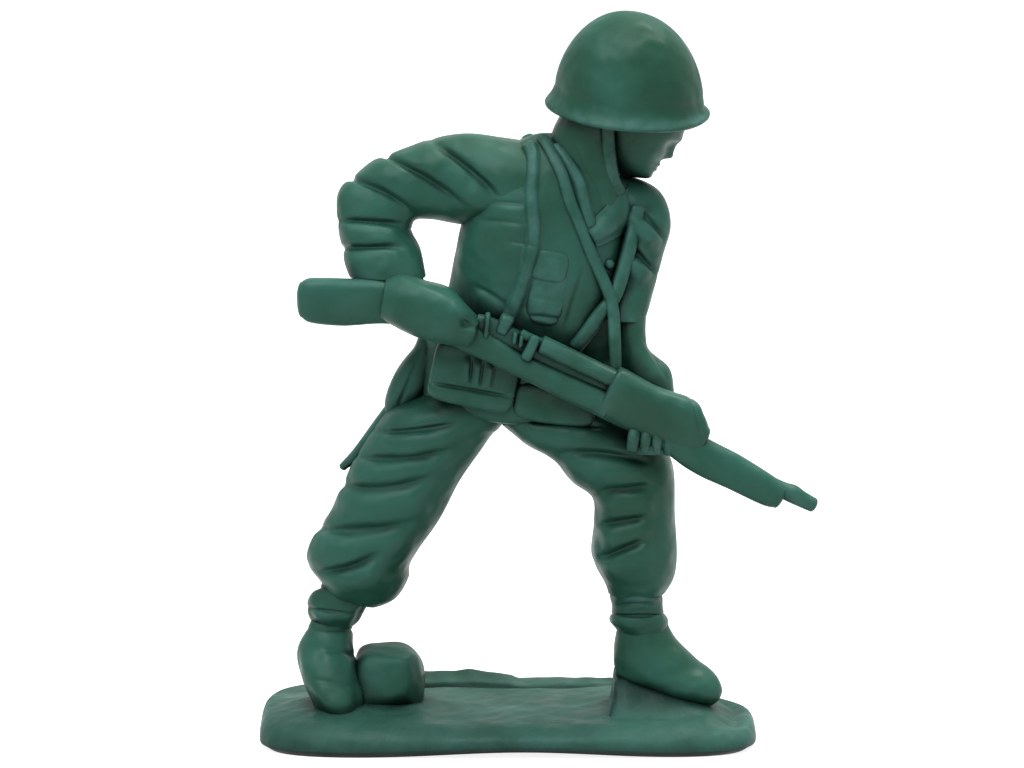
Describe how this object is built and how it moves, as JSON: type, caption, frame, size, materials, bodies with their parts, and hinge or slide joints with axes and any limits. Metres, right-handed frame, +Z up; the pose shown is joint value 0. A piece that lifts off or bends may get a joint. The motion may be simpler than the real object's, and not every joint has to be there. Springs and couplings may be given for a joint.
{
  "type": "toy soldier figure",
  "caption": "Toy soldier in one colour of plastic, walking with the head bowed and a rifle held low across the body, on a flat ground base.",
  "frame": {"origin": "centre of the underside of the base", "axes": "+Z up, +X the way the figure walks, -Y the way the chest faces"},
  "size_m": [0.0403, 0.016, 0.0535],
  "materials": {
    "green_polyethylene": "satin moulded soft plastic"
  },
  "bodies": {
    "root": {"base": "green_polyethylene", "rock": "green_polyethylene", "right_boot": "green_polyethylene", "left_boot": "green_polyethylene", "right_gaiter": "green_polyethylene", "left_gaiter": "green_polyethylene", "right_trouser_leg": "green_polyethylene", "left_trouser_leg": "green_polyethylene", "trouser_seat": "green_polyethylene", "jacket": "green_polyethylene", "belt": "green_polyethylene", "right_pouch": "green_polyethylene", "left_pouch": "green_polyethylene", "breast_pocket": "green_polyethylene", "jacket_button": "green_polyethylene", "right_lapel": "green_polyethylene", "left_lapel": "green_polyethylene", "right_brace": "green_polyethylene", "cross_strap": "green_polyethylene", "rifle_sling": "green_polyethylene", "right_sleeve": "green_polyethylene", "left_sleeve": "green_polyethylene", "right_hand": "green_polyethylene", "left_hand": "green_polyethylene", "head": "green_polyethylene", "helmet": "green_polyethylene", "chin_strap": "green_polyethylene", "bayonet_frog": "green_polyethylene", "bayonet_scabbard": "green_polyethylene", "rifle_stock": "green_polyethylene", "rifle_handguard": "green_polyethylene", "rifle_fore_end": "green_polyethylene", "rifle_barrel": "green_polyethylene", "rifle_receiver": "green_polyethylene", "rifle_bolt": "green_polyethylene", "rifle_bolt_handle": "green_polyethylene", "rifle_rear_sight": "green_polyethylene"}
  },
  "joints": []
}
